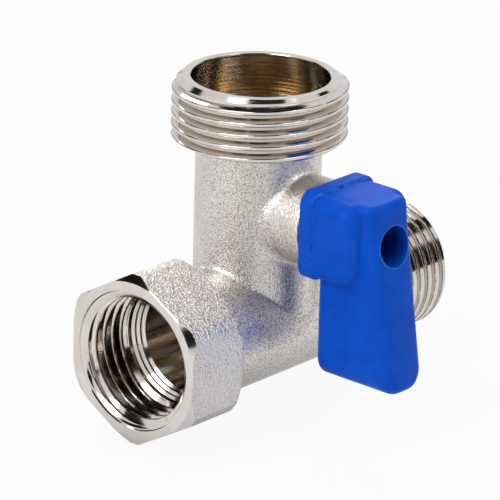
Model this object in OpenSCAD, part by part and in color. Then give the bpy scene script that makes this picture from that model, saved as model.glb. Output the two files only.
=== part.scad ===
// Appliance ball valve: a branch tee with a quarter-turn ball in the branch.
// X runs along the supply pipe, from the hexagon end to the male outlet.
// Z runs up the branch, and the lever faces -Y.
// The origin is the middle of the hexagon end's face.

/* [Pipe run] */
// From the branch axis to the face of the hexagon end
inlet_reach = 27.2; // [26:0.2:36]
// From the branch axis to the face of the male outlet
outlet_reach = 34.2; // [28:0.2:50]
// Outside diameter of the run tube
run_dia = 19.5; // [18.4:0.1:22]
// Water passage through the run
run_bore_dia = 15.8; // [10:0.1:16]
// Length of the male outlet thread
outlet_thread_length = 12; // [8:0.5:14]
// Major diameter of the inlet and outlet threads, G 1/2
run_thread_dia = 20.955; // [20.4:0.005:21.4]
// Pitch of the pipe threads
pipe_pitch = 1.814; // [1.4:0.002:2]

/* [Hexagon end] */
// Size of the hexagon across its flats
hex_flats = 24; // [23.4:0.2:27]
// Length of the hexagon along the run
hex_length = 11.4; // [10:0.2:12]
// Rounding of the hexagon's back corners
hex_back_round = 2.5; // [1:0.1:4]
// Diameter of the turned face at the mouth
hex_face_dia = 24.4; // [23.4:0.1:25]
// Depth of the female thread from the mouth
inlet_thread_depth = 8.2; // [5:0.2:9.4]

/* [Branch] */
// From the run axis to the rim of the branch
branch_height = 38.1; // [37:0.1:48]
// Outside diameter of the branch tube
branch_dia = 19; // [18.6:0.1:22]
// Height of the male thread ring at the top of the branch
branch_ring_height = 10.1; // [9:0.1:12]
// Major diameter of the branch thread, G 3/4
branch_thread_dia = 26.441; // [25.8:0.001:27.6]
// Bore of the open mouth above the retainer
mouth_dia = 20.9; // [17:0.1:21.4]
// Depth of the open mouth
mouth_depth = 7.5; // [6:0.1:7.8]

/* [Ball and seats] */
// Height of the ball and stem axis above the run axis
stem_height = 18; // [17.4:0.1:19]
// Diameter of the ball
ball_dia = 14; // [13:0.1:14.4]
// Water port through the ball, its seats and the passage below
port_dia = 9; // [6:0.1:9.4]
// Height of one seat ring
seat_height = 3.6; // [3:0.1:4.2]
// Major diameter of the seat retainer's thread
retainer_thread_dia = 16; // [15.6:0.1:16.4]
// Pitch of the seat retainer's thread
retainer_pitch = 1; // [0.8:0.05:1.1]
// Height of the seat retainer
retainer_height = 4.6; // [3.4:0.1:4.8]
// Size across the flats of the retainer's hexagon socket
retainer_socket = 10; // [8:0.1:11]

/* [Stem] */
// Diameter of the stem's shank
stem_dia = 6; // [5.6:0.1:6.4]
// Diameter of the collar that holds the stem in from inside
stem_collar_dia = 8; // [7.6:0.1:9]
// Thickness of the stem's collar
stem_collar_thickness = 1.6; // [1:0.1:2]
// Thickness of the washer between the collar and the body
thrust_washer_thickness = 0.8; // [0.5:0.1:1.1]
// Width of the blade that turns the ball
blade_width = 2.4; // [1.8:0.1:3]
// Depth of the slot in the ball
slot_depth = 1.8; // [1.2:0.1:2]
// Square that drives the lever, across its flats
stem_square = 4.5; // [4:0.1:4.8]
// Radial thickness of an O-ring squeezed in its groove
o_ring_thickness = 0.8; // [0.6:0.05:0.9]
// Width of an O-ring squeezed in its groove
o_ring_width = 1.1; // [0.9:0.05:1.3]

/* [Stem boss] */
// Diameter of the boss on the side of the branch
boss_dia = 13.5; // [11:0.1:15]
// From the branch axis to the face of the boss
boss_reach = 13.8; // [13.4:0.1:16]
// Diameter of the neck that enters the lever
neck_dia = 8.8; // [8.4:0.1:9.4]
// Length of the neck
neck_length = 2.8; // [2.4:0.1:3.4]
// How far the stop lug stands out from the neck
stop_height = 0.9; // [0.6:0.05:1]
// Angle that the stop lug spans
stop_span = 40; // [25:1:60]

/* [Lever] */
// Width of the block behind the lever blade
block_width = 13.8; // [13.4:0.1:18]
// How far the block rises above the stem axis
block_rise = 6.85; // [6.6:0.05:9]
// How far the block drops below the stem axis
block_drop = 6; // [5.9:0.05:8]
// Depth of the block from its back to its front
block_depth = 10; // [8:0.1:11]
// Corner radius of the block seen from the front
block_corner = 2.8; // [1:0.1:4]
// Radius of the block's front edges
block_front_round = 2.9; // [1:0.1:4]
// Thickness of the band around the back of the block
band_thickness = 2.45; // [1:0.05:3.5]
// How far the band stands out from the block
band_proud = 0.3; // [0.1:0.05:0.8]
// Width of the lever blade
lever_width = 9; // [8:0.1:11]
// From the stem axis to the tip of the lever
lever_length = 22.3; // [18:0.1:40]
// Thickness of the handle from its back to its front at the stem axis
lever_thickness = 12.4; // [11.6:0.1:15]
// Angle at which the front face leans out towards the tip
lever_lean = 8.8; // [0:0.1:12]
// Corner radius at the lever's tip seen from the front
lever_tip_round = 3.4; // [1:0.1:3.8]
// Radius of the lever's front edges
lever_edge_round = 1.8; // [0.6:0.1:3]
// Well in the front face that takes the screw head
screw_well_dia = 6.2; // [6:0.1:7]
// Thickness of the web that the screw clamps
web_thickness = 2.6; // [2:0.1:3.2]

/* [Handle screw] */
// Thread of the handle screw
screw_dia = 3; // [2.5:0.1:3.4]
// Pitch of the handle screw
screw_pitch = 0.5; // [0.4:0.05:0.6]
// Length of the handle screw under its head
screw_length = 6; // [5:0.5:6.5]
// Diameter of the screw head
screw_head_dia = 5.6; // [5:0.1:5.8]
// Height of the screw head
screw_head_height = 2.1; // [1.4:0.1:2.4]

/* [Hidden] */
$fn = 64;

// Clearances
ball_stem_gap = 0.3;
ball_seat_gap = 0.03;
seat_rim_gap = 0.05;
chamber_step = 0.06;
stem_gap = 0.02;
collar_gap = 0.1;
thrust_gap = 0.05;
slot_gap = 0.1;
o_ring_gap = 0.02;
neck_gap = 0.08;
stop_gap = 0.15;
stop_slack = 1;
quarter_turn = 90;
square_gap = 0.05;
handle_gap = 0.5;
thread_gap = 0.08;
screw_gap = 0.05;

// Thread forms: depth per pitch, and half of the angle between the flanks
pipe_depth_ratio = 0.6403;
pipe_flank = 27.5;
metric_depth_ratio = 0.5413;
metric_flank = 30;
pipe_thread_depth = pipe_depth_ratio * pipe_pitch;
retainer_thread_depth = metric_depth_ratio * retainer_pitch;
screw_thread_depth = metric_depth_ratio * screw_pitch;

// Small forms
overrun = 1;
mouth_chamfer = 0.5;
first_land = 0.3;
outlet_chamfer = 1;
outlet_lead = 0.3;
branch_lip = 0.7;
branch_lip_proud = 0.5;
branch_lip_back = 0.3;
branch_step = 0.3;
branch_step_back = 0.6;
hex_face_angle = 30;
seat_lap = 2.6;
socket_floor = 1.2;
groove_first = 1.1;
groove_land = 1.3;
lever_setback = 1.9;
lever_top_round = 1.2;
screw_slot_width = 0.7;
end_gap = 0.2;
tap_spare = 0.5;

// Radii worked out from the diameters
run_thread_r = run_thread_dia / 2;
run_minor_r = run_thread_r - pipe_thread_depth;
branch_thread_r = branch_thread_dia / 2;
branch_minor_r = branch_thread_r - pipe_thread_depth;
retainer_thread_r = retainer_thread_dia / 2;
retainer_minor_r = retainer_thread_r - retainer_thread_depth;
chamber_r = retainer_minor_r - chamber_step;
ball_r = ball_dia / 2;
hex_corner_r = hex_flats / 2 / cos(30);
hex_face_depth = (hex_corner_r - hex_face_dia / 2) * tan(hex_face_angle);
inlet_floor = hex_length - (run_minor_r - run_bore_dia / 2);

// Heights up the branch
// The seats reach past the edge of the ball's port, and lap onto the ball
seat_back = sqrt(pow(ball_r, 2) - pow(port_dia / 2, 2)) + seat_lap;
chamber_floor = stem_height - seat_back;
chamber_top = stem_height + seat_back;
mouth_floor = branch_height - mouth_depth;
ring_base = branch_height - branch_ring_height;

// Distances from the branch axis, out along the stem
slot_floor = ball_r - slot_depth;
collar_inner = ball_r + ball_stem_gap;
collar_outer = collar_inner + stem_collar_thickness;
stem_shoulder = collar_outer + thrust_gap + thrust_washer_thickness;
o_ring_first = stem_shoulder + groove_first;
o_ring_pitch = o_ring_width + groove_land;
neck_end = boss_reach + neck_length;
handle_back = boss_reach + handle_gap;
web_back = neck_end + end_gap;
web_front = web_back + web_thickness;
square_end = web_front - end_gap;
block_front = handle_back + block_depth;
lever_front = handle_back + lever_thickness;
lever_back = handle_back + lever_setback;

screw_r = screw_dia / 2;
screw_count = floor(screw_length / screw_pitch);
stem_r = stem_dia / 2;
stem_bore_r = stem_r + stem_gap;
groove_r = stem_bore_r - o_ring_thickness - 2 * o_ring_gap;
collar_r = stem_collar_dia / 2;
neck_r = neck_dia / 2;
stop_r = neck_r + stop_height;
stop_start = 90 - stop_span / 2;

// Places a child whose +Z runs up the branch, with the branch axis at x = 0
module at_branch() {
    translate([inlet_reach, 0, 0]) children();
}

// Places a child whose +Z runs along the pipe, starting at the branch axis
module along_run() {
    at_branch() rotate([0, 90, 0]) children();
}

// Places a child whose +Z runs out along the stem, with +Y still up
module along_stem() {
    at_branch() translate([0, 0, stem_height]) rotate([90, 0, 0]) children();
}

module tube(outer_r, inner_r, height) {
    difference() {
        cylinder(r = outer_r, h = height);
        translate([0, 0, -overrun]) cylinder(r = inner_r, h = height + 2 * overrun);
    }
}

// Ridges of a thread as parallel rings, from the root radius to the crest radius
function ridge_count(length, pitch) = floor(length / pitch);
function ridge_run(depth, flank) = depth * tan(flank);
function ridge_points(root, crest, pitch, flank, count) =
    let (run = ridge_run(abs(crest - root), flank), flat = pitch / 2 - run)
    [for (i = [0 : count - 1]) each [
        [root, i * pitch], [crest, i * pitch + run],
        [crest, i * pitch + run + flat], [root, i * pitch + 2 * run + flat]
    ]];

// A round bar of the given length that starts with a number of ridges
module threaded_bar(root, crest, pitch, flank, count, length) {
    rotate_extrude() polygon(concat(
        [[0, 0]], ridge_points(root, crest, pitch, flank, count), [[root, length], [0, length]]
    ));
}

// A rectangle with round corners, of one radius below and another above
module round_rect(left, right, bottom, top, low, high) {
    middle = (bottom + top) / 2;
    translate([left, bottom + low]) square([right - left, top - bottom - low - high]);
    translate([left + low, bottom]) square([right - left - 2 * low, middle - bottom]);
    translate([left + high, middle]) square([right - left - 2 * high, top - middle]);
    for (x = [left + low, right - low]) translate([x, bottom + low]) circle(r = low);
    for (x = [left + high, right - high]) translate([x, top - high]) circle(r = high);
}

// Sector of the plane, from one angle to the next, out past the radius
module sector(from, span, radius) {
    reach = radius / cos(span / 4);
    rim = [for (i = [0 : 2]) let (a = from + span * i / 2) [reach * cos(a), reach * sin(a)]];
    polygon(concat([[0, 0]], rim));
}

// Valve body

module hexagon_end() {
    straight = hex_length - hex_back_round;
    back_r = hex_corner_r - hex_back_round;
    translate([0, 0, -inlet_reach]) intersection() {
        cylinder(r = hex_corner_r, h = hex_length, $fn = 6);
        rotate_extrude() {
            polygon([
                [0, 0], [hex_face_dia / 2, 0], [hex_corner_r, hex_face_depth],
                [hex_corner_r, straight], [0, straight]
            ]);
            square([back_r, hex_length]);
            translate([back_r, straight]) circle(r = hex_back_round);
        }
    }
}

module outlet_end() {
    thread_length = outlet_thread_length - outlet_chamfer;
    count = ridge_count(thread_length, pipe_pitch);
    ridges = count * pipe_pitch;
    start = outlet_reach - outlet_chamfer - ridges;
    translate([0, 0, outlet_reach - outlet_thread_length])
        cylinder(r = run_minor_r, h = thread_length - ridges + overrun / 2);
    translate([0, 0, start])
        threaded_bar(run_minor_r, run_thread_r, pipe_pitch, pipe_flank, count, ridges + outlet_chamfer / 2);
    translate([0, 0, outlet_reach - outlet_chamfer])
        cylinder(r1 = run_thread_r - outlet_lead, r2 = run_minor_r + outlet_lead, h = outlet_chamfer);
}

module branch_ring() {
    count = ridge_count(branch_ring_height - branch_lip - branch_step, pipe_pitch);
    ridges = count * pipe_pitch;
    start = branch_height - branch_lip - ridges;
    translate([0, 0, ring_base])
        cylinder(r1 = branch_minor_r - branch_step_back, r2 = branch_minor_r, h = branch_step);
    translate([0, 0, ring_base + branch_step])
        cylinder(r = branch_minor_r, h = start - ring_base - branch_step + overrun / 2);
    translate([0, 0, start])
        threaded_bar(branch_minor_r, branch_thread_r, pipe_pitch, pipe_flank, count, ridges + branch_lip / 2);
    translate([0, 0, branch_height - branch_lip]) cylinder(
        r1 = branch_minor_r + branch_lip_proud, r2 = branch_minor_r - branch_lip_back, h = branch_lip
    );
}

module stop_lug() {
    translate([0, 0, boss_reach - overrun]) linear_extrude(height = neck_length - stop_gap + overrun)
        intersection() {
            circle(r = stop_r);
            sector(stop_start, stop_span, stop_r);
        }
}

module inlet_bore() {
    thread_start = mouth_chamfer + first_land;
    count = ridge_count(inlet_thread_depth - thread_start, pipe_pitch);
    flare = pipe_thread_depth / mouth_chamfer;
    translate([0, 0, -inlet_reach]) {
        translate([0, 0, -overrun]) cylinder(r = run_minor_r, h = thread_start + 2 * overrun);
        translate([0, 0, -overrun]) cylinder(
            r1 = run_thread_r + flare * overrun, r2 = run_minor_r, h = mouth_chamfer + overrun
        );
        translate([0, 0, thread_start])
            threaded_bar(run_minor_r, run_thread_r, pipe_pitch, pipe_flank, count, inlet_floor - thread_start);
        // The drilled end narrows to the run bore at the hexagon's back
        rotate_extrude() polygon([
            [0, inlet_floor - overrun], [run_minor_r, inlet_floor - overrun], [run_minor_r, inlet_floor],
            [run_bore_dia / 2, hex_length], [0, hex_length]
        ]);
    }
}

module retainer_bore() {
    count = ridge_count(mouth_floor - chamber_top, retainer_pitch);
    depth = mouth_floor - chamber_top;
    translate([0, 0, chamber_top]) threaded_bar(
        retainer_minor_r, retainer_thread_r, retainer_pitch, metric_flank, count, depth + overrun
    );
}

module valve_body() {
    tube_start = hex_length - inlet_reach - overrun;
    color("silver") difference() {
        union() {
            along_run() hexagon_end();
            along_run() translate([0, 0, tube_start])
                cylinder(d = run_dia, h = outlet_reach - outlet_thread_length - tube_start + overrun);
            along_run() outlet_end();
            at_branch() cylinder(d = branch_dia, h = ring_base + overrun);
            at_branch() branch_ring();
            along_stem() cylinder(d = boss_dia, h = boss_reach);
            along_stem() cylinder(r = neck_r, h = neck_end);
            along_stem() stop_lug();
        }
        along_run() inlet_bore();
        along_run() translate([0, 0, tube_start])
            cylinder(d = run_bore_dia, h = outlet_reach - tube_start + overrun);
        at_branch() cylinder(d = port_dia, h = stem_height);
        at_branch() translate([0, 0, chamber_floor])
            cylinder(r = chamber_r, h = chamber_top - chamber_floor + overrun);
        at_branch() retainer_bore();
        at_branch() translate([0, 0, mouth_floor]) cylinder(d = mouth_dia, h = mouth_depth + overrun);
        along_stem() translate([0, 0, slot_floor])
            cylinder(r = collar_r + collar_gap, h = stem_shoulder - slot_floor);
        along_stem() translate([0, 0, slot_floor])
            cylinder(r = stem_bore_r, h = neck_end - slot_floor + overrun);
    }
}

// Ball and its seats

module ball() {
    color("gainsboro") difference() {
        at_branch() translate([0, 0, stem_height]) sphere(r = ball_r);
        at_branch() translate([0, 0, stem_height - ball_dia]) cylinder(d = port_dia, h = 2 * ball_dia);
        along_stem() translate([-ball_r, -blade_width / 2 - slot_gap, slot_floor])
            cube([ball_dia, blade_width + 2 * slot_gap, slot_depth + overrun]);
    }
}

// A seat ring with its back at z = 0 and its face towards the ball
module seat_ring() {
    difference() {
        tube(chamber_r - seat_rim_gap, port_dia / 2, seat_height);
        translate([0, 0, seat_back]) sphere(r = ball_r + ball_seat_gap);
    }
}

module lower_seat() {
    color("white") at_branch() translate([0, 0, chamber_floor]) seat_ring();
}

module upper_seat() {
    color("white") at_branch() translate([0, 0, chamber_top]) mirror([0, 0, 1]) seat_ring();
}

module seat_retainer() {
    count = ridge_count(retainer_height, retainer_pitch);
    color("darkgoldenrod") at_branch() translate([0, 0, chamber_top]) difference() {
        threaded_bar(
            retainer_minor_r - thread_gap, retainer_thread_r - thread_gap, retainer_pitch, metric_flank,
            count, retainer_height
        );
        translate([0, 0, -overrun]) cylinder(d = port_dia, h = retainer_height + 2 * overrun);
        translate([0, 0, socket_floor]) cylinder(d = retainer_socket / cos(30), h = retainer_height, $fn = 6);
    }
}

// Stem and its seals

module stem() {
    collar_middle = collar_inner + stem_collar_thickness / 2;
    color("peru") along_stem() difference() {
        union() {
            translate([0, 0, collar_middle]) cylinder(r = stem_r, h = web_back - collar_middle);
            translate([0, 0, collar_inner]) cylinder(r = collar_r, h = stem_collar_thickness);
            intersection() {
                cylinder(r = stem_r, h = collar_middle);
                translate([-stem_dia, -blade_width / 2, slot_floor + slot_gap])
                    cube([2 * stem_dia, blade_width, collar_middle - slot_floor]);
            }
            intersection() {
                cylinder(r = stem_r, h = square_end);
                translate([-stem_square / 2, -stem_square / 2, web_back - overrun])
                    cube([stem_square, stem_square, square_end - web_back + overrun]);
            }
        }
        for (i = [0 : 1]) translate([0, 0, o_ring_first + i * o_ring_pitch])
            tube(stem_r + overrun, groove_r, o_ring_width + 2 * o_ring_gap);
        translate([0, 0, web_front - screw_count * screw_pitch]) threaded_bar(
            screw_r - screw_thread_depth, screw_r, screw_pitch, metric_flank,
            screw_count, screw_length + overrun
        );
        translate([0, 0, web_front - screw_length - tap_spare])
            cylinder(r = screw_r - screw_thread_depth, h = screw_length);
    }
}

module stem_thrust_washer() {
    color("white") along_stem() translate([0, 0, stem_shoulder - thrust_washer_thickness])
        tube(collar_r + collar_gap / 2, stem_r + collar_gap / 2, thrust_washer_thickness);
}

// An O-ring squeezed flat between the groove and the bore
module o_ring(place) {
    inner = groove_r + o_ring_gap;
    side = o_ring_thickness / 2;
    color("dimgray") along_stem() translate([0, 0, o_ring_first + place * o_ring_pitch + o_ring_gap])
        rotate_extrude() translate([inner + side, side]) {
            circle(r = side);
            translate([0, o_ring_width - 2 * side]) circle(r = side);
            translate([-side, 0]) square([2 * side, o_ring_width - 2 * side]);
        }
}

module stem_o_ring_inner() {
    o_ring(0);
}

module stem_o_ring_outer() {
    o_ring(1);
}

// Lever and its screw

// The block seen from the front, grown by a margin
module block_outline(margin) {
    half = block_width / 2 + margin;
    round_rect(-half, half, -block_drop - margin, block_rise + margin, block_corner, block_corner);
}

module block() {
    half = block_width / 2;
    intersection() {
        translate([0, 0, handle_back]) linear_extrude(height = block_depth) block_outline(0);
        // Seen from above, with its front edges rounded
        translate([0, block_rise + overrun, 0]) rotate([90, 0, 0])
            linear_extrude(height = block_rise + block_drop + 2 * overrun)
                round_rect(-half, half, handle_back - block_depth, block_front, overrun, block_front_round);
    }
}

module lever_blade() {
    half = lever_width / 2;
    reach = block_rise + lever_length;
    intersection() {
        translate([0, 0, lever_back]) linear_extrude(height = 2 * lever_thickness)
            round_rect(-half, half, -lever_length, block_rise, lever_tip_round, lever_top_round);
        // The front face leans out towards the tip, and its rounded edges follow it
        translate([0, 0, lever_front]) rotate([90 - lever_lean, 0, 0]) translate([0, 0, -2 * reach])
            linear_extrude(height = 4 * reach)
                round_rect(-half, half, -3 * lever_thickness, 0, overrun, lever_edge_round);
    }
}

module stop_pocket() {
    pocket_depth = web_back - handle_back;
    translate([0, 0, handle_back - overrun]) cylinder(r = neck_r + neck_gap, h = pocket_depth + overrun);
    translate([0, 0, handle_back - overrun]) linear_extrude(height = pocket_depth + overrun)
        intersection() {
            circle(r = stop_r + stop_gap);
            sector(stop_start - stop_slack, stop_span + quarter_turn + 2 * stop_slack, stop_r + stop_gap);
        }
}

module lever_handle() {
    side = stem_square + 2 * square_gap;
    color("royalblue") along_stem() difference() {
        union() {
            block();
            translate([0, 0, handle_back]) linear_extrude(height = band_thickness) block_outline(band_proud);
            lever_blade();
        }
        stop_pocket();
        intersection() {
            translate([-side / 2, -side / 2, web_back - overrun])
                cube([side, side, web_thickness + 2 * overrun]);
            cylinder(r = stem_r + square_gap, h = web_front + 2 * overrun);
        }
        translate([0, 0, web_front]) cylinder(d = screw_well_dia, h = 2 * lever_thickness);
    }
}

module handle_screw() {
    recess = screw_head_height / 2;
    bar = screw_count * screw_pitch + screw_head_height / 2;
    color("lightgray") along_stem() difference() {
        union() {
            translate([0, 0, web_front]) cylinder(d = screw_head_dia, h = screw_head_height);
            translate([0, 0, web_front - screw_count * screw_pitch]) threaded_bar(
                screw_r - screw_thread_depth - screw_gap, screw_r - screw_gap, screw_pitch, metric_flank,
                screw_count, bar
            );
        }
        for (turn = [0, 90]) rotate(turn)
            translate([-screw_r, -screw_slot_width / 2, web_front + screw_head_height - recess])
                cube([screw_dia, screw_slot_width, recess + overrun]);
    }
}

valve_body();
ball();
lower_seat();
upper_seat();
seat_retainer();
stem();
stem_thrust_washer();
stem_o_ring_inner();
stem_o_ring_outer();
lever_handle();
handle_screw();
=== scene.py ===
"""Looks of a small ball valve with a side branch: plated casting, cut threads, moulded lever and lighting."""
from math import cos, pi, radians, sin

import bmesh
import bpy
import numpy as np
from mathutils import Matrix, Vector


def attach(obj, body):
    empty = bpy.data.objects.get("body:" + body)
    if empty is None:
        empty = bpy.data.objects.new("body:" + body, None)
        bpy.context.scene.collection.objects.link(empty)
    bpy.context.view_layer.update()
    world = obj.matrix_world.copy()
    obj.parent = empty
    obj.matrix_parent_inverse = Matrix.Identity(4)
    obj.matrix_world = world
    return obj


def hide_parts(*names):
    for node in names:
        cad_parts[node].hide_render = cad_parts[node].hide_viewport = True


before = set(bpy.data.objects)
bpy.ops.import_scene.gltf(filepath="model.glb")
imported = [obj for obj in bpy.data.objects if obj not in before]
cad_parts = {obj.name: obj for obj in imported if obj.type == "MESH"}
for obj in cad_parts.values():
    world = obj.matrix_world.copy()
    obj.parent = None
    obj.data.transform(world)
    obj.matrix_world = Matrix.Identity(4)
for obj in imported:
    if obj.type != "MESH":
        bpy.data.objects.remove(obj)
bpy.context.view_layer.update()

# Shapes are made in millimetres with the branch axis at x = 0, and are put in place when finished
BRANCH = 27.2
STEM = 18.0
IN_PLACE = Matrix.Scale(0.001, 4) @ Matrix.Translation((BRANCH, 0, 0))
UP_BRANCH = Matrix.Identity(4)
ALONG_RUN = Matrix.Rotation(pi / 2, 4, "Y")
OUT_STEM = Matrix.Translation((0, 0, STEM)) @ Matrix.Rotation(pi / 2, 4, "X")

# Radii and lengths of the casting and its threads
PITCH = 1.814
RUN_R = 9.75
BRANCH_R = 9.5
BOSS_R = 6.75
BOSS_REACH = 13.8
INLET = -BRANCH
OUTLET = 34.2
HEX_HALF = 12.0
HEX_CORNER = 13.856
HEX_BACK = -15.8
RIM = 38.1
# Ends of the cast skin, where the cut threads and the turned face take over
CAST_START, CAST_END, CAST_TOP = -28.6, 23.5, 29.0

# Hollow fillets of the casting, and its rounded edges
TEE_FILLET = 0.8
BOSS_FILLET = 1.0
HEX_FILLET = 0.6
BOSS_EDGE = 0.5
HEX_FRONT_EDGE = 1.2
HEX_EDGE = 0.7
HEX_BACK_EDGE = 0.4
HEX_BACK_ROUND = 2.5

# Crest and root radii of the threads on the run's ends and on the branch
RUN_CREST, RUN_ROOT = 10.4775, 9.316
RING_CREST, RING_ROOT = 13.2205, 12.06
# Radii of the worn lines beside the crests of the three threads
INLET_LINE, OUTLET_LINE, BRANCH_LINE = 9.37, 10.39, 13.13

# Radii inside the casting
PASSAGE_R = 7.9
PORT_R = 4.5
CHAMBER_R = 7.4
RETAINER_R = 8.0
MOUTH_R = 10.43

# The neck that the lever turns on and the lug that stops it, with the lever's gap round each
NECK_R, NECK_GAP = 4.4, 0.08
LUG_R, LUG_GAP = 5.3, 0.15
NECK_POCKET, POCKET_FLOOR = 13.3, 16.8

# The lever's block and the blade in front of it, with distances out along the stem as positive
BLOCK_HALF_WIDTH = 6.9
BLOCK_LOW, BLOCK_TOP = 11.7, 24.55
BLOCK_MIDDLE = (BLOCK_LOW + BLOCK_TOP) / 2
BLOCK_HALF = (BLOCK_TOP - BLOCK_LOW) / 2
BLOCK_BACK, BLOCK_FRONT = 14.6, 24.1
BLADE_HALF_WIDTH = 4.5
BLADE_LOW = -4.3
BLADE_MIDDLE = (BLADE_LOW + BLOCK_TOP) / 2
BLADE_HALF = (BLOCK_TOP - BLADE_LOW) / 2
BLADE_BACK = 16.2
BAND_BACK, BAND_FRONT = 14.3, 16.75
WELL_R = 3.1
WELL_FLOOR = 19.4
# How far the blade's front leans out for each millimetre down
LEAN = 0.153

# Sides of the little cubes from which the moulded skins are made
CASTING_GRAIN, LEVER_GRAIN = 0.28, 0.2
# Rounds in which a skin is eased onto its surface, and the step that measures how it slopes
EASING_PASSES = 3
SLOPE_STEP = 0.005

# The finishes' places on the casting
CAST, CUT, BORE = 0, 1, 2


# Mesh work

def turned(outline, place=UP_BRANCH, steps=128, finish=CUT):
    """A round solid from points of (radius, distance along its axis)."""
    bm = bmesh.new()
    points = [bm.verts.new((r, 0, along)) for r, along in outline]
    edges = [bm.edges.new(pair) for pair in zip(points, points[1:])]
    bmesh.ops.spin(
        bm, geom=points + edges, cent=(0, 0, 0), axis=(0, 0, 1), dvec=(0, 0, 0),
        angle=2 * pi, steps=steps, use_merge=True,
    )
    bmesh.ops.remove_doubles(bm, verts=bm.verts, dist=1e-4)
    return placed(bm, place, finish)


def ridge(outline, turns, place, start=0.0, pitch=PITCH, steps=96):
    """A thread's ridge: its section swept round the axis and along it at once."""
    bm = bmesh.new()
    section = bm.faces.new([bm.verts.new((r, 0, along)) for r, along in outline])
    count = round(turns * steps)
    bmesh.ops.spin(
        bm, geom=[section], cent=(0, 0, 0), axis=(0, 0, 1), dvec=(0, 0, pitch / steps),
        angle=2 * pi * count / steps, steps=count,
    )
    bmesh.ops.rotate(bm, cent=(0, 0, 0), matrix=Matrix.Rotation(start, 3, "Z"), verts=bm.verts)
    return placed(bm, place, CUT)


def bar(radius, low, high, place, sides=128, finish=CUT):
    """A straight bar between two distances along its axis."""
    bm = bmesh.new()
    bmesh.ops.create_cone(
        bm, cap_ends=True, segments=sides, radius1=radius, radius2=radius, depth=high - low,
        matrix=Matrix.Translation((0, 0, (low + high) / 2)),
    )
    return placed(bm, place, finish)


def slab(low, high, round_edges=0.0, along=2, place=UP_BRANCH):
    """A block between two corners, with the four edges along one axis rounded."""
    bm = bmesh.new()
    size = [b - a for a, b in zip(low, high)]
    middle = [(a + b) / 2 for a, b in zip(low, high)]
    bmesh.ops.create_cube(bm, size=1, matrix=Matrix.Translation(middle) @ Matrix.Diagonal((*size, 1)))
    if round_edges:
        edges = [e for e in bm.edges if abs((e.verts[0].co - e.verts[1].co)[along]) > 1e-6]
        bmesh.ops.bevel(
            bm, geom=edges, offset=round_edges, offset_type="OFFSET", affect="EDGES",
            segments=8, profile=0.5, material=-1,
        )
    return placed(bm, place, CUT)


def placed(bm, place, finish):
    """The shape moved to its place, in one finish, with its faces outwards."""
    bmesh.ops.recalc_face_normals(bm, faces=bm.faces)
    bmesh.ops.transform(bm, matrix=place, verts=bm.verts)
    for face in bm.faces:
        face.material_index = finish
    return bm


def on_bench(bm):
    """The shape as an object, for a modifier to work on."""
    mesh = bpy.data.meshes.new("bench")
    for _ in (CAST, CUT, BORE):
        mesh.materials.append(None)
    bm.to_mesh(mesh)
    bm.free()
    made = bpy.data.objects.new("bench", mesh)
    bpy.context.scene.collection.objects.link(made)
    return made


def worked(bm, kind, tool=None, **settings):
    """The mesh after one modifier, with another mesh as its tool where it needs one."""
    blank = on_bench(bm)
    step = blank.modifiers.new("step", kind)
    for key, value in settings.items():
        setattr(step, key, value)
    used = [blank]
    if tool:
        step.object = on_bench(tool)
        used.append(step.object)
    result = bmesh.new()
    result.from_object(blank, bpy.context.evaluated_depsgraph_get())
    for item in used:
        bpy.data.meshes.remove(item.data)
    return result


def joined(bm, *tools):
    """One solid from several that overlap."""
    for tool in tools:
        bm = worked(bm, "BOOLEAN", tool, operation="UNION", solver="MANIFOLD")
    return bm


def cut(bm, *tools):
    """The solid less what the tools take out."""
    for tool in tools:
        bm = worked(bm, "BOOLEAN", tool, operation="DIFFERENCE", solver="MANIFOLD")
    return bm


def kept_inside(bm, tool):
    """The part of the solid that lies inside the tool."""
    return worked(bm, "BOOLEAN", tool, operation="INTERSECT", solver="MANIFOLD")


def gathered(*shapes):
    """Several meshes in one, still overlapping."""
    bm = bmesh.new()
    for shape in shapes:
        mesh = bpy.data.meshes.new("part")
        shape.to_mesh(mesh)
        shape.free()
        bm.from_mesh(mesh)
        bpy.data.meshes.remove(mesh)
    return bm


def moulded(bm, skin, grain):
    """One even skin over the blank, eased onto the surface where skin(points) is 0."""
    bm = worked(bm, "REMESH", mode="VOXEL", voxel_size=grain)
    for _ in range(EASING_PASSES):
        eased = on_bench(worked(bm, "SMOOTH", factor=0.5, iterations=1)).data
        points = np.empty(len(eased.vertices) * 3)
        eased.vertices.foreach_get("co", points)
        points = points.reshape(-1, 3)
        for _ in range(EASING_PASSES):
            here = skin(points)
            steps = np.eye(3) * SLOPE_STEP
            slope = np.stack([skin(points + step) - here for step in steps], axis=1) / SLOPE_STEP
            steep = np.maximum((slope ** 2).sum(axis=1), 0.3)
            points -= slope * np.clip(here / steep, -grain, grain)[:, None]
        eased.vertices.foreach_set("co", points.ravel())
        bm = bmesh.new()
        bm.from_mesh(eased)
        bpy.data.meshes.remove(eased)
    return bm


def piece(name, bm, finishes, body, nodes, crease=32):
    """A finished piece in its place, riding on its body and standing for its nodes."""
    bmesh.ops.transform(bm, matrix=IN_PLACE, verts=bm.verts)
    mesh = bpy.data.meshes.new(name)
    bm.to_mesh(mesh)
    bm.free()
    mesh.shade_smooth()
    mesh.set_sharp_from_angle(angle=radians(crease))
    for finish in finishes:
        mesh.materials.append(finish)
    made = bpy.data.objects.new(name, mesh)
    bpy.context.scene.collection.objects.link(made)
    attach(made, body)
    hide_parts(*nodes)


def round_join(a, b, radius):
    """Two surfaces joined with a hollow fillet."""
    inside = np.hypot(np.maximum(radius - a, 0), np.maximum(radius - b, 0))
    return np.maximum(radius, np.minimum(a, b)) - inside


def round_meet(a, b, radius):
    """What two surfaces share, with the edge between them rounded."""
    outside = np.hypot(np.maximum(radius + a, 0), np.maximum(radius + b, 0))
    return np.minimum(-radius, np.maximum(a, b)) + outside


# Finishes

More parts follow.
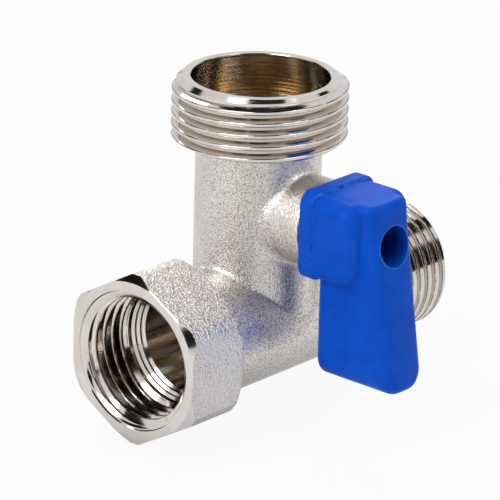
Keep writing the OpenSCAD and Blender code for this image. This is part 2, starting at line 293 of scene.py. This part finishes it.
class Value:
    """A number or colour in a finish, which takes part in sums."""

    def __init__(self, finish, socket):
        self.finish = finish
        self.socket = socket

    def __add__(self, other):
        return self.finish.maths("ADD", self, other)

    def __radd__(self, other):
        return self.finish.maths("ADD", other, self)

    def __sub__(self, other):
        return self.finish.maths("SUBTRACT", self, other)

    def __rsub__(self, other):
        return self.finish.maths("SUBTRACT", other, self)

    def __mul__(self, other):
        return self.finish.maths("MULTIPLY", self, other)

    def __rmul__(self, other):
        return self.finish.maths("MULTIPLY", other, self)

    def __truediv__(self, other):
        return self.finish.maths("DIVIDE", self, other)

    def __pow__(self, other):
        return self.finish.maths("POWER", self, other)


class Finish:
    """The nodes of a material or of the world, linked as they are made."""

    def __init__(self, owner):
        self.owner = owner
        self.owner.use_nodes = True
        self.tree = self.owner.node_tree
        self.tree.nodes.clear()

    def node(self, kind, settings=None, sockets=None, output=0):
        made = self.tree.nodes.new(kind)
        for key, value in (settings or {}).items():
            setattr(made, key, value)
        for key, value in (sockets or {}).items():
            if isinstance(value, Value):
                self.tree.links.new(value.socket, made.inputs[key])
            else:
                made.inputs[key].default_value = value
        return Value(self, made.outputs[output]) if made.outputs else None

    def maths(self, operation, first, second):
        return self.node("ShaderNodeMath", {"operation": operation}, {0: first, 1: second})

    def ray(self, kind):
        """1 where the surface is met by such a ray, and 0 elsewhere."""
        return self.node("ShaderNodeLightPath", output=kind)

    def place(self):
        """Object coordinates in millimetres, with the branch axis at x = 0."""
        here = self.node("ShaderNodeTexCoord", output="Object")
        return self.node(
            "ShaderNodeMapping", {"vector_type": "POINT"},
            {"Vector": here, "Location": (-BRANCH, 0, 0), "Scale": (1000, 1000, 1000)},
        )

    def axes(self, place):
        """The three coordinates of a place."""
        split = self.node("ShaderNodeSeparateXYZ", {}, {"Vector": place})
        outputs = split.socket.node.outputs
        return [Value(self, outputs[i]) for i in range(3)]

    def noise(self, place, scale, detail=2.0, roughness=0.5, distortion=0.0):
        return self.node(
            "ShaderNodeTexNoise", {},
            {"Vector": place, "Scale": scale, "Detail": detail, "Roughness": roughness,
             "Distortion": distortion},
        )

    def ramp(self, value, low, high, start=0.0):
        """A soft rise from start to 1 as the value goes from low to high."""
        return self.node(
            "ShaderNodeMapRange", {"interpolation_type": "SMOOTHSTEP"},
            {"Value": value, "From Min": low, "From Max": high, "To Min": start, "To Max": 1.0},
        )

    def blend(self, share, first, second):
        """The first colour where the share is 0, and the second where it is 1."""
        return self.node(
            "ShaderNodeMix", {"data_type": "RGBA"}, {0: share, 6: first, 7: second}, output=2
        )

    def bump(self, height, distance, strength=1.0):
        """Relief as deep as the distance, which is in metres."""
        sockets = {"Height": height, "Distance": distance, "Strength": strength}
        return self.node("ShaderNodeBump", {}, sockets)

    def done(self, **sockets):
        """The material, with one shader that takes these sockets."""
        named = {key.replace("_", " "): value for key, value in sockets.items()}
        shader = self.node("ShaderNodeBsdfPrincipled", {}, named)
        self.node("ShaderNodeOutputMaterial", {}, {"Surface": shader})
        return self.owner


def colour(red, green, blue):
    """A colour given as it shows on a screen, 0 to 255, as the shader's own numbers."""
    parts = [part / 255 for part in (red, green, blue)]
    return (*[p / 12.92 if p <= 0.04045 else ((p + 0.055) / 1.055) ** 2.4 for p in parts], 1.0)


def nickel(name, tint, rough, tool_marks=0.0, tool_rings=5.0):
    """Nickel plate: blasted casting, or the bright surface that a cutting tool leaves."""
    finish = Finish(bpy.data.materials.new(name))
    place = finish.place()
    x, y, z = finish.axes(place)
    if tool_marks:
        # Fine rings that the tool leaves, round the run or round the branch
        from_run = (y * y + z * z) ** 0.5
        from_branch = (x * x + y * y) ** 0.5
        on_branch = finish.ramp(z, 26.0, 27.0)
        across = from_run * (1 - on_branch) + from_branch * on_branch
        along = x * (1 - on_branch) + z * on_branch
        sweep = finish.noise(place, 0.4, 1.0) * 0.15
        rings = finish.node(
            "ShaderNodeCombineXYZ", {}, {"X": across * tool_rings, "Y": along * tool_rings, "Z": sweep}
        )
        marks = finish.noise(rings, 1.0, 3.0, 0.65)
        patches = finish.noise(place, 0.25, 2.0)
        base = finish.blend(finish.ramp(patches, 0.35, 0.7), tint[0], tint[1])
        # Thread crests, where the plate is worn to a brown line, and painted shade on the flanks under them
        at_outlet = finish.ramp(x, -5.0, 5.0)
        run_line = INLET_LINE + (OUTLET_LINE - INLET_LINE) * at_outlet
        from_line = across - run_line * (1 - on_branch) - BRANCH_LINE * on_branch
        on_ring = on_branch * (1 - finish.ramp(z, 36.7, 36.95))
        on_outlet = at_outlet * (1 - on_branch) * (1 - finish.ramp(x, 33.1, 33.3))
        painted_flank_shade = finish.ramp(0 - from_line, 0.1, 0.6) * (on_ring + on_outlet)
        base = finish.blend(painted_flank_shade * 0.55, base, colour(186, 172, 158))
        worn = 1 - finish.ramp(from_line * from_line, 0.002, 0.008)
        broken = finish.ramp(finish.noise(place, 1.1, 2.0), 0.28, 0.50)
        base = finish.blend(worn * broken * 0.8, base, tint[2])
        gloss = rough + marks * 0.05 + patches * 0.04
        normal = finish.bump(marks * (0.15 + on_branch * 0.85), tool_marks)
    else:
        # Shot marks a fifth of a millimetre across, larger and deeper on the hexagon and calmer on its front
        on_hexagon = 1 - finish.ramp(x, -16.4, -15.0)
        on_front = on_hexagon * (1 - finish.ramp(y, -11.95, -11.5))
        fine = finish.noise(place, 5.0, 2.0, 0.6)
        coarse = finish.noise(place, 2.4, 2.0, 0.5, 0.3)
        dents = fine * 0.10 + coarse * (on_hexagon * 0.36 - on_front * 0.12)
        spread = fine * (1 - on_hexagon * 0.5) + coarse * on_hexagon * 0.5
        specks = finish.ramp(spread, 0.36, 0.51, on_hexagon * 0.3 + on_front * 0.5)
        patches = finish.noise(place, 0.16, 2.0)
        clean = finish.blend(finish.ramp(patches, 0.35, 0.7), tint[0], tint[1])
        base = finish.blend(specks, tint[2], clean)
        gloss = rough + finish.noise(place, 1.7, 1.0) * 0.08
        normal = finish.bump(dents, 0.001)
    return finish.done(Base_Color=base, Metallic=1.0, Roughness=gloss, Normal=normal)


def plain(name, first, second, rough, metal=0.0, grain_height=0.00001):
    """One material that clouds slightly between two shades, with a fine grain."""
    finish = Finish(bpy.data.materials.new(name))
    place = finish.place()
    grain = finish.noise(place, 6.0, 2.0)
    shade = finish.blend(finish.ramp(finish.noise(place, 0.5, 2.0), 0.35, 0.65), first, second)
    return finish.done(
        Base_Color=shade, Metallic=metal, Roughness=rough + grain * 0.08,
        Normal=finish.bump(grain, grain_height),
    )


def blue_plastic():
    """Moulded blue plastic with a soft sheen, a torn seam beside the band and a few light scuffs, painted
    highlights on the seam's top and round the well's mouth, and painted shade on the blade's back and in the
    well.
    """
    finish = Finish(bpy.data.materials.new("blue_plastic"))
    place = finish.place()
    x, y, z = finish.axes(place)
    cloud = finish.noise(place, 0.35, 3.0)
    grain = finish.noise(place, 5.0, 2.0)
    scuff_place = finish.node(
        "ShaderNodeMapping", {"vector_type": "POINT"},
        {"Vector": place, "Rotation": (0.4, 0.9, 0.3), "Scale": (0.25, 2.6, 0.6)},
    )
    scuffs = finish.ramp(finish.noise(scuff_place, 1.0, 4.0, 0.7), 0.66, 0.74)
    base = finish.blend(finish.ramp(cloud, 0.3, 0.7), colour(4, 78, 198), colour(8, 86, 208))
    base = finish.blend(scuffs * 0.25, base, colour(60, 112, 205))
    torn = finish.ramp(finish.noise(place, 1.3, 3.0, 0.7), 0.42, 0.60) * 0.25
    from_seam = y + (BAND_FRONT + 0.02)
    seam = 1 - finish.ramp(from_seam * from_seam, 0.003, 0.010)
    from_stem = (x * x + (z - STEM) * (z - STEM)) ** 0.5
    # Painted highlight: a lighter ring round the well's mouth on the front face
    from_rim = from_stem - (WELL_R + 0.11)
    painted_rim_highlight = (1 - finish.ramp(from_rim * from_rim, 0.003, 0.010)) * finish.ramp(-24.0 - y, 0, 1)
    # Painted highlight: the seam is lighter still where it crosses the top face
    on_top = finish.ramp(z, BLOCK_TOP - 0.25, BLOCK_TOP + 0.25)
    painted_top_highlight = on_top * finish.ramp(finish.noise(place, 0.6, 2.0), 0.35, 0.6) * 0.7
    base = finish.blend(seam * (torn + painted_top_highlight + 0.12) + painted_rim_highlight * 0.45, base, colour(70, 150, 235))
    # Painted shade: the back of the blade, which faces the casting, is darkened as if in its shade
    under_block = 1 - finish.ramp(z, BLOCK_LOW - 0.9, BLOCK_LOW - 0.35)
    painted_back_shade = finish.ramp(y, -BLADE_BACK - 0.3, -BLADE_BACK) * under_block
    base = finish.blend(painted_back_shade * 0.6, base, colour(2, 30, 104))
    # Painted shade: the inside of the well darkens towards its floor
    inside = 1 - finish.ramp(from_stem, WELL_R + 0.005, WELL_R + 0.02)
    deep = inside * finish.ramp(y, -26.3, -24.0) * 0.6
    base = finish.blend(deep, base, colour(0, 10, 60))
    gloss = 0.38 + grain * 0.10 + scuffs * 0.12
    normal = finish.bump(grain, 0.000012, 0.6)
    return finish.done(Base_Color=base, Roughness=gloss, Specular_IOR_Level=0.08, Normal=normal)


# Plate, cloudier plate, and the specks or the worn lines in it
CAST_TINTS = (colour(238, 234, 230), colour(232, 227, 222), colour(170, 164, 158))
CUT_TINTS = (colour(228, 223, 218), colour(220, 213, 206), colour(136, 108, 84))
BORE_TINTS = (colour(202, 196, 188), colour(182, 175, 166), colour(128, 112, 96))
cast_nickel = nickel("blasted_nickel", CAST_TINTS, 0.15)
cut_nickel = nickel("machined_nickel", CUT_TINTS, 0.05, 0.000008)
bore_nickel = nickel("bore_nickel", BORE_TINTS, 0.05, 0.000045, 3.0)
plastic = blue_plastic()
steel = plain("screw_steel", colour(196, 194, 190), colour(182, 180, 177), 0.22, 1.0)
chrome = plain("ball_chrome", colour(214, 214, 213), colour(206, 206, 206), 0.05, 1.0, 0.000001)
brass = plain("brass", colour(214, 178, 106), colour(200, 163, 92), 0.2, 1.0)
white_seal = plain("seat_plastic", colour(232, 231, 226), colour(224, 222, 216), 0.45)
rubber = plain("black_rubber", colour(30, 30, 31), colour(38, 38, 39), 0.6)


# Valve body

def casting_skin(points):
    """Distance from the blasted skin of the casting."""
    x, y, z = points.T
    run = np.hypot(y, z) - RUN_R
    branch = np.maximum(np.hypot(x, y) - BRANCH_R, -z)
    # Where the run and the branch lie flush at their sides, the fillet runs out
    crease = np.clip(1 - y * y / (RUN_R * BRANCH_R), 0.02, 1)
    skin = round_join(run, branch, TEE_FILLET * crease)
    boss = np.maximum(round_meet(np.hypot(x, z - STEM) - BOSS_R, -y - BOSS_REACH, BOSS_EDGE), y)
    skin = round_join(skin, boss, BOSS_FILLET)
    flat = np.abs(y) - HEX_HALF
    rising = np.abs(y / 2 + z * cos(pi / 6)) - HEX_HALF
    falling = np.abs(y / 2 - z * cos(pi / 6)) - HEX_HALF
    prism = round_meet(round_meet(flat, falling, HEX_FRONT_EDGE), rising, HEX_EDGE)
    back = round_meet(np.hypot(y, z) - HEX_CORNER, x - HEX_BACK, HEX_BACK_ROUND)
    skin = round_join(skin, round_meet(prism, back, HEX_BACK_EDGE), HEX_FILLET)
    return np.maximum.reduce([skin, x - CAST_END, CAST_START - x, z - CAST_TOP])


def casting():
    """The pressed body with its blasted skin, before its threads and bores."""
    blank = gathered(
        bar(RUN_R, CAST_START, CAST_END, ALONG_RUN),
        bar(HEX_CORNER, CAST_START, HEX_BACK, ALONG_RUN, sides=6),
        bar(BRANCH_R, 0, CAST_TOP, UP_BRANCH),
        bar(BOSS_R, 0, BOSS_REACH, OUT_STEM),
    )
    bm = moulded(blank, casting_skin, CASTING_GRAIN)
    for face in bm.faces:
        face.material_index = CAST
    # The inlet face and the bevel that turning leaves on the hexagon's corners
    lathe = turned([
        (0, INLET), (12.2, INLET), (14.2, INLET + 1.155), (60, INLET + 1.155), (60, 22.2), (0, 22.2),
    ], ALONG_RUN)
    bevel = bmesh.new()
    bmesh.ops.create_cone(
        bevel, cap_ends=True, segments=6, radius1=(HEX_HALF - 0.1) / cos(pi / 6),
        radius2=(HEX_HALF + 59.9) / cos(pi / 6), depth=60, matrix=Matrix.Translation((0, 0, INLET + 30)),
    )
    bevel = placed(bevel, ALONG_RUN @ Matrix.Rotation(pi / 6, 4, "Z"), CUT)
    return kept_inside(kept_inside(bm, lathe), bevel)


def outer_thread(crest, root, flat, low, high, envelope, place, start):
    """A threaded bar, with its ends turned to the envelope's outline."""
    half = [
        (root - 0.5, 0.75), (root - 0.02, 0.75), (crest - 0.12, flat + 0.11), (crest - 0.04, flat + 0.05),
        (crest, flat),
    ]
    middle = PITCH / 2 - 0.13
    section = [(r, middle - reach) for r, reach in half]
    section += [(r, middle + reach) for r, reach in reversed(half)]
    turns = (high - low) / PITCH + 1.5
    rod = joined(
        bar(root, low - 1, high + 1, place, sides=144),
        ridge(section, turns, place @ Matrix.Translation((0, 0, low - 1.2)), start),
    )
    return kept_inside(rod, turned(envelope, place, 144))


def outlet_end():
    """The male thread of the outlet, with its chamfered end."""
    envelope = [(0, 21.0), (9.3, 21.0), (9.3, 22.2), (10.6, 23.3), (10.6, 33.1), (9.7, OUTLET), (0, OUTLET)]
    return outer_thread(RUN_CREST, RUN_ROOT, 0.40, 21.5, OUTLET, envelope, ALONG_RUN, 0.6)


def branch_ring():
    """The threaded ring at the top of the branch, with its bevelled lip."""
    envelope = [
        (0, 27.6), (9.3, 27.6), (9.3, 28.05), (11.3, 28.05), (12.0, 28.4), (13.3, 29.0), (13.3, 36.95),
        (12.55, 37.3), (11.65, RIM), (0, RIM),
    ]
    return outer_thread(RING_CREST, RING_ROOT, 0.17, 27.6, RIM, envelope, UP_BRANCH, -3.0)


def stem_neck():
    """The turned neck that guides the lever, and the lug that stops it."""
    neck = turned([(0, 13.0), (NECK_R, 13.0), (NECK_R, 16.4), (4.2, 16.6), (0, 16.6)], OUT_STEM)
    lug = turned([(0, 13.2), (LUG_R, 13.2), (LUG_R, 16.45), (0, 16.45)], OUT_STEM)
    wedge = slab((-1.8, 3.0, 13.2), (1.8, 6.0, 16.45), place=OUT_STEM)
    return joined(neck, kept_inside(lug, wedge))


def inlet_tap():
    """What the tap takes out: the mouth, the thread and the drilled end."""
    core = turned([
        (0, INLET - 1), (11.3, INLET - 1), (10.75, INLET), (10.62, INLET + 0.24), (10.42, INLET + 0.3),
        (RUN_ROOT, INLET + 1.3), (RUN_ROOT, -18.4), (9.15, -18.2), (9.15, -17.5), (8.75, -17.2),
        (8.75, -16.8), (8.35, -16.5), (8.35, -16.1), (PASSAGE_R, HEX_BACK), (0, HEX_BACK),
    ], ALONG_RUN, 144)
    section = [
        (8.9, 0.02), (9.3, 0.02), (10.22, 0.48), (10.40, 0.58), (RUN_CREST, 0.70), (RUN_CREST, 0.84),
        (10.40, 0.96), (10.22, 1.06), (9.3, 1.50), (8.9, 1.50),
    ]
    thread = ridge(section, 5.6, ALONG_RUN @ Matrix.Translation((0, 0, INLET - 1.3)), 1.0)
    reach = turned([
        (0, INLET + 0.25), (10.4, INLET + 0.25), (10.55, INLET + 0.5), (10.55, -19.4), (9.2, -18.2),
        (0, -18.2),
    ], ALONG_RUN, 144)
    return joined(core, kept_inside(thread, reach))


def body_bores():
    """The passages behind the threads, which run into each other."""
    return [
        inlet_tap(),
        bar(PASSAGE_R, HEX_BACK - 0.2, OUTLET + 1, ALONG_RUN, finish=BORE),
        bar(PORT_R, 0, STEM, UP_BRANCH, finish=BORE),
        turned([
            (0, 10.04), (CHAMBER_R, 10.04), (CHAMBER_R, 25.96), (RETAINER_R, 25.96), (RETAINER_R, 30.6),
            (10.0, 30.6), (MOUTH_R, 31.0), (MOUTH_R, 38.0), (10.55, RIM + 0.02), (10.55, 40), (0, 40),
        ], UP_BRANCH, 144, BORE),
        bar(4.1, 5.2, 9.75, OUT_STEM, 96, BORE),
        bar(3.02, 5.2, 17.6, OUT_STEM, 96, BORE),
    ]


def valve_body():
    """The whole casting, with its threads cut and its passages drilled."""
    bm = joined(casting(), outlet_end(), branch_ring(), stem_neck())
    bm = cut(bm, *body_bores())
    finishes = (cast_nickel, cut_nickel, bore_nickel)
    piece("plated_body", bm, finishes, "valve", ("valve_body",), crease=27)


# Lever

def lever_skin(points):
    """Distance from the moulded lever, without its back band."""
    x, y, z = points.T
    out = -y
    corner = np.where(z > BLOCK_MIDDLE, 2.3, 2.9)
    profile = round_meet(out - BLOCK_FRONT, np.abs(z - BLOCK_MIDDLE) - BLOCK_HALF, corner)
    block = np.maximum(round_meet(profile, np.abs(x) - BLOCK_HALF_WIDTH, 2.2), BLOCK_BACK - out)
    corner = np.where(z > 8, 1.2, 3.4)
    outline = round_meet(np.abs(x) - BLADE_HALF_WIDTH, np.abs(z - BLADE_MIDDLE) - BLADE_HALF, corner)
    crown = 0.5 * (1 - (x / BLADE_HALF_WIDTH) ** 2)
    lean = (out - 25.4 - LEAN * (24.9 - z) - crown) * 0.988
    edge = 1.6 - 0.5 * np.clip((z - 21) / 3.5, 0, 1)
    blade = round_meet(outline, lean, edge)
    blade = round_meet(blade, BLADE_BACK - out, 0.7)
    return round_join(block, blade, 0.4)


def lever():
    """The moulded lever: its block, blade and back band, hollow for the neck, the stem and the screw."""
    blank = gathered(
        slab((-BLOCK_HALF_WIDTH, -24.3, BLOCK_LOW), (BLOCK_HALF_WIDTH, -BLOCK_BACK, BLOCK_TOP), 2.6, 1),
        slab((-BLADE_HALF_WIDTH, -27.0, BLADE_LOW), (BLADE_HALF_WIDTH, -BLADE_BACK, 24.6), 1.2, 1),
        slab((-BLADE_HALF_WIDTH, -30.0, BLADE_LOW), (BLADE_HALF_WIDTH, -26.0, 0), 1.2, 1),
        slab((-BLADE_HALF_WIDTH, -28.0, -2.0), (BLADE_HALF_WIDTH, -26.0, 14), 0.5, 1),
    )
    bm = moulded(blank, lever_skin, LEVER_GRAIN)
    band = slab((-7.2, -BAND_FRONT, 11.4), (7.2, -BAND_BACK, 25.15), 2.3, 1)
    rims = [e for e in band.edges if e.calc_face_angle(0) > 1]
    bmesh.ops.bevel(
        band, geom=rims, offset=0.25, offset_type="OFFSET", affect="EDGES",
        segments=3, profile=0.5, material=-1,
    )
    bm = joined(bm, band)
    neck = bar(NECK_R + NECK_GAP, NECK_POCKET, POCKET_FLOOR, OUT_STEM, 96)
    sweep = kept_inside(
        bar(LUG_R + LUG_GAP, NECK_POCKET, POCKET_FLOOR, OUT_STEM, 96),
        slab((-6.5, -2.0, NECK_POCKET), (1.95, 6.5, POCKET_FLOOR), place=OUT_STEM),
    )
    square = kept_inside(
        slab((-2.3, -2.3, 16.0), (2.3, 2.3, 20.4), place=OUT_STEM), bar(3.05, 15.9, 20.5, OUT_STEM, 96)
    )
    well = turned([(0, WELL_FLOOR), (WELL_R, WELL_FLOOR), (WELL_R, 29.0), (0, 29.0)], OUT_STEM, 96)
    bm = cut(bm, joined(neck, sweep), square, well)
    for face in bm.faces:
        face.material_index = 0
    piece("moulded_lever", bm, (plastic,), "lever", ("lever_handle",))


def handle_screw():
    """The pan-head screw that holds the lever on, with its cross recess."""
    head = turned([
        (0, WELL_FLOOR), (2.8, WELL_FLOOR), (2.8, 20.2), (2.7, 20.7), (2.35, 21.15), (1.8, 21.4),
        (1.1, 21.49), (0, 21.5),
    ], OUT_STEM, 96)
    core = turned([(0, 13.5), (0.8, 13.5), (1.1, 13.8), (1.1, 19.5), (0, 19.5)], OUT_STEM, 48)
    section = [(1.0, 0.03), (1.08, 0.03), (1.42, 0.22), (1.42, 0.28), (1.08, 0.47), (1.0, 0.47)]
    thread = ridge(section, 10.5, OUT_STEM @ Matrix.Translation((0, 0, 13.7)), pitch=0.5, steps=36)
    bm = joined(head, core, thread)
    arms = joined(
        slab((-1.6, -0.35, 20.5), (1.6, 0.35, 22.0), place=OUT_STEM),
        slab((-0.35, -1.6, 20.5), (0.35, 1.6, 22.0), place=OUT_STEM),
        turned([(0, 20.2), (0.35, 20.3), (0.8, 22.0), (0, 22.0)], OUT_STEM, 32),
    )
    bm = cut(bm, arms)
    for face in bm.faces:
        face.material_index = 0
    piece("cross_head_screw", bm, (steel,), "lever", ("handle_screw",))


valve_body()
lever()
handle_screw()

# The parts inside keep their solids and get their own materials
for finish, nodes in (
    (chrome, ("ball",)),
    (brass, ("seat_retainer", "stem")),
    (white_seal, ("lower_seat", "upper_seat", "stem_thrust_washer")),
    (rubber, ("stem_o_ring_inner", "stem_o_ring_outer")),
):
    for node in nodes:
        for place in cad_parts[node].material_slots:
            place.material = finish


# Floor, lamps and camera

MIDDLE = (0.03, 0, 0.012)
CARDS_AWAY = 0.95
TABLE = -0.01387
# How bright the surround is for matt surfaces, and for mirrors and the camera
MATT_LIGHT, MIRROR_LIGHT = 0.22, 0.985


def grey(level):
    return (level, level, level, 1)


def staged(name, bm, surface, mirrors_only=False):
    """A piece of the studio, which is no part of the valve."""
    mesh = bpy.data.meshes.new(name)
    bm.to_mesh(mesh)
    bm.free()
    mesh.materials.append(surface)
    made = bpy.data.objects.new(name, mesh)
    bpy.context.scene.collection.objects.link(made)
    if mirrors_only:
        made.visible_camera = made.visible_diffuse = made.visible_shadow = False


def dark(name, bm):
    """A dark shape that only reflections show."""
    paint = Finish(bpy.data.materials.new(name))
    matt = paint.node("ShaderNodeBsdfDiffuse", {}, {"Color": grey(0.01)})
    paint.node("ShaderNodeOutputMaterial", {}, {"Surface": matt})
    staged(name, bm, paint.owner, mirrors_only=True)


def floor():
    """A white table, which the plated surfaces mirror darker than the camera sees it, with painted pools of
    light and a painted shadow under the valve in what they mirror.
    """
    bm = bmesh.new()
    bmesh.ops.create_grid(bm, x_segments=1, y_segments=1, size=4.0, matrix=Matrix.Translation((0, 0, TABLE)))
    paint = Finish(bpy.data.materials.new("white_floor"))
    seen = paint.ray("Is Camera Ray")
    mirrored = paint.ray("Is Glossy Ray")
    # Two painted pools of light on the table, left and right of the valve, as its reflections show them
    x, y, _ = paint.axes(paint.node("ShaderNodeTexCoord", output="Object"))
    towards = radians(174)
    along = x * cos(towards) + y * sin(towards)
    aside = y * cos(towards) - x * sin(towards)
    painted_pools = (along * along - aside * aside) / (along * along + aside * aside + 0.0004)
    # Painted shadow under the valve: the table is darker there in what the metal mirrors, as its thread
    # flanks show
    away = ((x - 0.027) * (x - 0.027) + y * y) ** 0.5
    clear_of_painted_shadow = paint.ramp(away, 0.018, 0.042)
    # A third painted pool of light in front of the valve, which the hexagon's front flat mirrors
    from_pool = ((x - 0.035) * (x - 0.035) + (y + 0.036) * (y + 0.036)) ** 0.5
    painted_front_pool = 1 - paint.ramp(from_pool, 0.010, 0.032)
    white = paint.node("ShaderNodeEmission", {}, {"Color": grey(0.972), "Strength": 1.0})
    shade = paint.blend(clear_of_painted_shadow, grey(0.38), grey(0.74))
    table = paint.blend(mirrored, grey(0.94), shade)
    matt = paint.node("ShaderNodeBsdfDiffuse", {}, {"Color": table})
    lit = 0.28 + clear_of_painted_shadow * 0.08 + painted_pools * 0.30 + painted_front_pool * 0.28
    mixed = paint.node("ShaderNodeMixShader", {}, {0: seen * 0.955 + mirrored * lit, 1: matt, 2: white})
    paint.node("ShaderNodeOutputMaterial", {}, {"Surface": mixed})
    staged("floor", bm, paint.owner)


def lamp(name, place, aim, width, height, radiance):
    """A soft box that faces the valve, as bright as the radiance says."""
    light = bpy.data.lights.new(name, "AREA")
    light.shape = "RECTANGLE"
    light.size, light.size_y = width, height
    light.energy = radiance * pi * width * height
    made = bpy.data.objects.new(name, light)
    made.location = place
    made.rotation_euler = (Vector(aim) - Vector(place)).to_track_quat("-Z", "Y").to_euler()
    bpy.context.scene.collection.objects.link(made)


def card(name, azimuth, elevation, width, height):
    """A dark card in one direction from the valve."""
    bm = bmesh.new()
    bmesh.ops.create_grid(bm, x_segments=1, y_segments=1, size=0.5)
    place = (
        Matrix.Translation(MIDDLE) @ Matrix.Rotation(radians(azimuth), 4, "Z")
        @ Matrix.Rotation(radians(-elevation), 4, "Y") @ Matrix.Translation((CARDS_AWAY, 0, 0))
        @ Matrix.Rotation(pi / 2, 4, "Y") @ Matrix.Diagonal((height, width, 1, 1))
    )
    bmesh.ops.transform(bm, matrix=place, verts=bm.verts)
    dark(name, bm)


def dark_arch(azimuth, width, rise):
    """The unlit strip from behind the camera to overhead, which widens as it rises."""
    bm = bmesh.new()
    ends = [bm.verts.new((side * width / 2, CARDS_AWAY, 0)) for side in (-1, 1)]
    edge = bm.edges.new(ends)
    bmesh.ops.spin(
        bm, geom=[*ends, edge], cent=(0, 0, 0), axis=(1, 0, 0), dvec=(0, 0, 0), angle=radians(rise), steps=24
    )
    for vert in bm.verts:
        vert.co.x *= 0.65 + 0.5 * vert.co.z
    place = Matrix.Translation(MIDDLE) @ Matrix.Rotation(radians(azimuth - 90), 4, "Z")
    bmesh.ops.transform(bm, matrix=place, verts=bm.verts)
    dark("dark_arch", bm)


def sky():
    """A bright surround for mirrors and the camera, and a dim one for matt surfaces."""
    world = bpy.data.worlds.new("studio")
    air = Finish(world)
    shown = air.maths("MAXIMUM", air.ray("Is Camera Ray"), air.ray("Is Glossy Ray"))
    shown = air.maths("MAXIMUM", shown, air.ray("Is Transmission Ray"))
    level = air.node("ShaderNodeMapRange", {}, {"Value": shown, "To Min": MATT_LIGHT, "To Max": MIRROR_LIGHT})
    back = air.node("ShaderNodeBackground", {}, {"Strength": level})
    air.node("ShaderNodeOutputWorld", {}, {"Surface": back})
    bpy.context.scene.world = world


def camera():
    """The camera that the photograph's own lines and circles give, in millimetres."""
    turn, rise, roll = radians(-49.1141), radians(20.5515), radians(1.5813)
    across, height, distance = -0.6287, 9.6436, 626.256
    back = Vector((sin(turn) * cos(rise), -cos(turn) * cos(rise), sin(rise)))
    level = Vector((0, 0, 1)).cross(back).normalized()
    upright = back.cross(level)
    right = level * cos(roll) + upright * sin(roll)
    up = upright * cos(roll) - level * sin(roll)
    spot = right * across + up * height + back * distance + Vector((BRANCH, 0, 0))
    view = Matrix((right, up, back)).transposed().to_4x4()
    lens = bpy.data.cameras.new("camera")
    lens.sensor_width = 36.0
    lens.lens = 296.988
    lens.clip_start = 0.01
    lens.clip_end = 20
    made = bpy.data.objects.new("camera", lens)
    made.matrix_world = Matrix.Translation(spot * 0.001) @ view
    bpy.context.scene.collection.objects.link(made)
    bpy.context.scene.camera = made


sky()
floor()
lamp("left_box", (-0.52, 0.08, 0.57), MIDDLE, 0.36, 0.85, 4.3)
lamp("right_box", (0.12, -0.56, 0.55), MIDDLE, 0.34, 0.6, 2.0)
lamp("back_box", (0.39, 0.43, 0.55), MIDDLE, 0.6, 0.35, 4.0)
lamp("top_box", (0.03, 0, 1.25), MIDDLE, 0.5, 0.5, 3.0)
dark_arch(-139.1, 0.62, 116)
card("right_card", -44, 12, 0.26, 0.46)
card("high_right_card", -19, 39, 0.30, 0.17)
card("high_left_card", 102, 39, 0.40, 0.17)
card("back_card", 136, 23, 0.5, 0.32)
card("low_left_card", -168, 7, 0.32, 0.2)
camera()
bpy.context.scene.view_settings.view_transform = "Standard"
